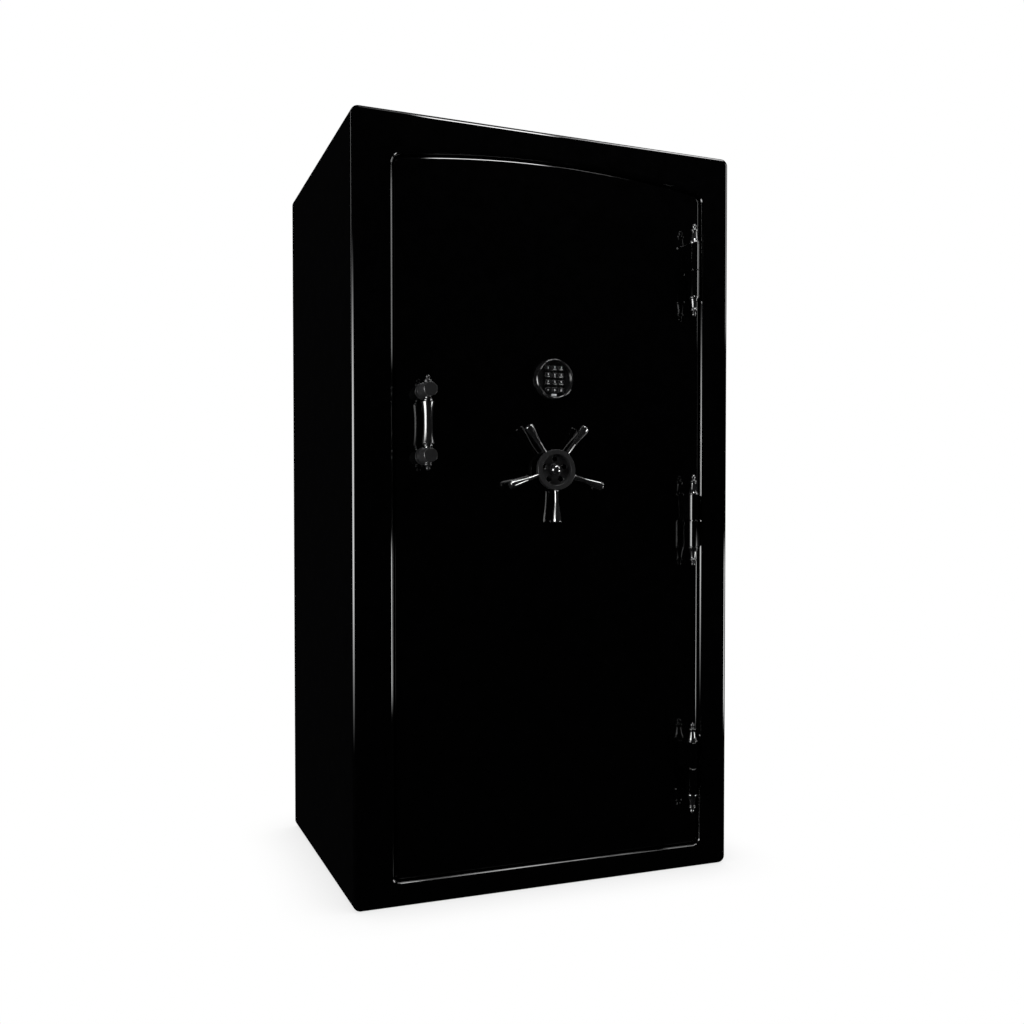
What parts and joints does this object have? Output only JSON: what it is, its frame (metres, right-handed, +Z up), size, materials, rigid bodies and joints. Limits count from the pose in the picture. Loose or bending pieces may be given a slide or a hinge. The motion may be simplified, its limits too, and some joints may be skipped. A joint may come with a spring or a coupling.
{
  "type": "gun safe",
  "caption": "Tall gloss black gun safe with an arched-top recessed door, external barrel hinges, turned pull handle, spoked bolt handle and round electronic keypad.",
  "frame": {"origin": "centre of the cabinet's underside, where it stands on the floor", "axes": "+Z up, -Y out of the door's face, +X towards the hinge side"},
  "size_m": [0.914, 0.747, 1.69],
  "materials": {
    "paint": "deep gloss black baked enamel, smooth",
    "chrome": "black chrome, mirror polished",
    "steel": "zinc-bright machined steel",
    "dark_steel": "satin black formed channel",
    "board": "grey-white gypsum fireboard",
    "carpet": "short grey pile carpet over board",
    "seal": "black intumescent door seal",
    "housing": "black moulding with a polished dark bezel",
    "keypad_face": "black moulded key field",
    "keys": null,
    "window": "pale status window",
    "lock": "cast zinc lock case"
  },
  "bodies": {
    "cabinet": {"body_shell": "paint", "back_panel": "paint", "front_frame": "paint", "liner_left": "carpet", "liner_right": "carpet", "liner_top": "carpet", "liner_floor": "carpet", "liner_back": "carpet", "frame_knuckle_1": "paint", "frame_knuckle_2": "paint", "frame_knuckle_3": "paint", "hinge_pin_1": "chrome", "hinge_pin_2": "chrome", "hinge_pin_3": "chrome", "top_shelf": "carpet", "divider_panel": "carpet", "side_shelf_1": "carpet", "side_shelf_2": "carpet", "barrel_rack": "carpet"},
    "door": {"door_plate": "paint", "door_seal": "seal", "door_fireboard": "board", "bolt_frame": "dark_steel", "hard_plate": "steel", "lock_body": "lock", "door_inner_panel": "carpet", "door_knuckle_1": "paint", "door_knuckle_2": "paint", "door_knuckle_3": "paint", "keypad_housing": "housing", "keypad_face": "keypad_face", "keypad_window": "window", "pull_post_upper": "chrome", "pull_post_lower": "chrome", "pull_grip": "chrome"},
    "handle_wheel": {"hub": "chrome", "hub_cap": "chrome", "spindle": "steel", "spoke_1": "chrome", "spoke_2": "chrome", "spoke_3": "chrome", "spoke_4": "chrome", "spoke_5": "chrome"},
    "bolts_left": {"bolt_bar_left": "steel"},
    "bolts_right": {"bolt_bar_right": "steel"},
    "bolts_top": {"bolt_bar_top": "steel"},
    "bolts_bottom": {"bolt_bar_bottom": "steel"},
    "lock_bolt": {"lock_bolt": "steel"},
    "key_1": {"key_1": "keys"},
    "key_2": {"key_2": "keys"},
    "key_3": {"key_3": "keys"},
    "key_4": {"key_4": "keys"},
    "key_5": {"key_5": "keys"},
    "key_6": {"key_6": "keys"},
    "key_7": {"key_7": "keys"},
    "key_8": {"key_8": "keys"},
    "key_9": {"key_9": "keys"},
    "key_star": {"key_star": "keys"},
    "key_0": {"key_0": "keys"},
    "key_hash": {"key_hash": "keys"}
  },
  "joints": [
    {"name": "door_swing", "type": "hinge", "parent": "cabinet", "child": "door", "pos_m": [0.3485, -0.373, 0.8278], "axis": [0, 0, 1], "range_deg": [0, 180]},
    {"name": "handle_turn", "type": "hinge", "parent": "door", "child": "handle_wheel", "pos_m": [0, -0.363, 0.9405], "axis": [0, -1, 0], "range_deg": [0, 72]},
    {"name": "bolts_left_slide", "type": "slide", "parent": "door", "child": "bolts_left", "axis": [-1, 0, 0], "range_m": [0, 0.0301]},
    {"name": "bolts_right_slide", "type": "slide", "parent": "door", "child": "bolts_right", "axis": [1, 0, 0], "range_m": [0, 0.0301]},
    {"name": "bolts_top_slide", "type": "slide", "parent": "door", "child": "bolts_top", "axis": [0, 0, 1], "range_m": [0, 0.0301]},
    {"name": "bolts_bottom_slide", "type": "slide", "parent": "door", "child": "bolts_bottom", "axis": [0, 0, -1], "range_m": [0, 0.0301]},
    {"name": "lock_bolt_slide", "type": "slide", "parent": "door", "child": "lock_bolt", "axis": [1, 0, 0], "range_m": [0, 0.009]},
    {"name": "key_1_press", "type": "slide", "parent": "door", "child": "key_1", "axis": [0, 1, 0], "range_m": [0, 0.0018], "stiffness_N_per_m": 300},
    {"name": "key_2_press", "type": "slide", "parent": "door", "child": "key_2", "axis": [0, 1, 0], "range_m": [0, 0.0018], "stiffness_N_per_m": 300},
    {"name": "key_3_press", "type": "slide", "parent": "door", "child": "key_3", "axis": [0, 1, 0], "range_m": [0, 0.0018], "stiffness_N_per_m": 300},
    {"name": "key_4_press", "type": "slide", "parent": "door", "child": "key_4", "axis": [0, 1, 0], "range_m": [0, 0.0018], "stiffness_N_per_m": 300},
    {"name": "key_5_press", "type": "slide", "parent": "door", "child": "key_5", "axis": [0, 1, 0], "range_m": [0, 0.0018], "stiffness_N_per_m": 300},
    {"name": "key_6_press", "type": "slide", "parent": "door", "child": "key_6", "axis": [0, 1, 0], "range_m": [0, 0.0018], "stiffness_N_per_m": 300},
    {"name": "key_7_press", "type": "slide", "parent": "door", "child": "key_7", "axis": [0, 1, 0], "range_m": [0, 0.0018], "stiffness_N_per_m": 300},
    {"name": "key_8_press", "type": "slide", "parent": "door", "child": "key_8", "axis": [0, 1, 0], "range_m": [0, 0.0018], "stiffness_N_per_m": 300},
    {"name": "key_9_press", "type": "slide", "parent": "door", "child": "key_9", "axis": [0, 1, 0], "range_m": [0, 0.0018], "stiffness_N_per_m": 300},
    {"name": "key_star_press", "type": "slide", "parent": "door", "child": "key_star", "axis": [0, 1, 0], "range_m": [0, 0.0018], "stiffness_N_per_m": 300},
    {"name": "key_0_press", "type": "slide", "parent": "door", "child": "key_0", "axis": [0, 1, 0], "range_m": [0, 0.0018], "stiffness_N_per_m": 300},
    {"name": "key_hash_press", "type": "slide", "parent": "door", "child": "key_hash", "axis": [0, 1, 0], "range_m": [0, 0.0018], "stiffness_N_per_m": 300}
  ],
  "couplings": [
    {"joint": "bolts_left_slide", "follows": "handle_turn", "m_per_rad": 0.023873},
    {"joint": "bolts_right_slide", "follows": "handle_turn", "m_per_rad": 0.023873},
    {"joint": "bolts_top_slide", "follows": "handle_turn", "m_per_rad": 0.023873},
    {"joint": "bolts_bottom_slide", "follows": "handle_turn", "m_per_rad": 0.023873}
  ]
}
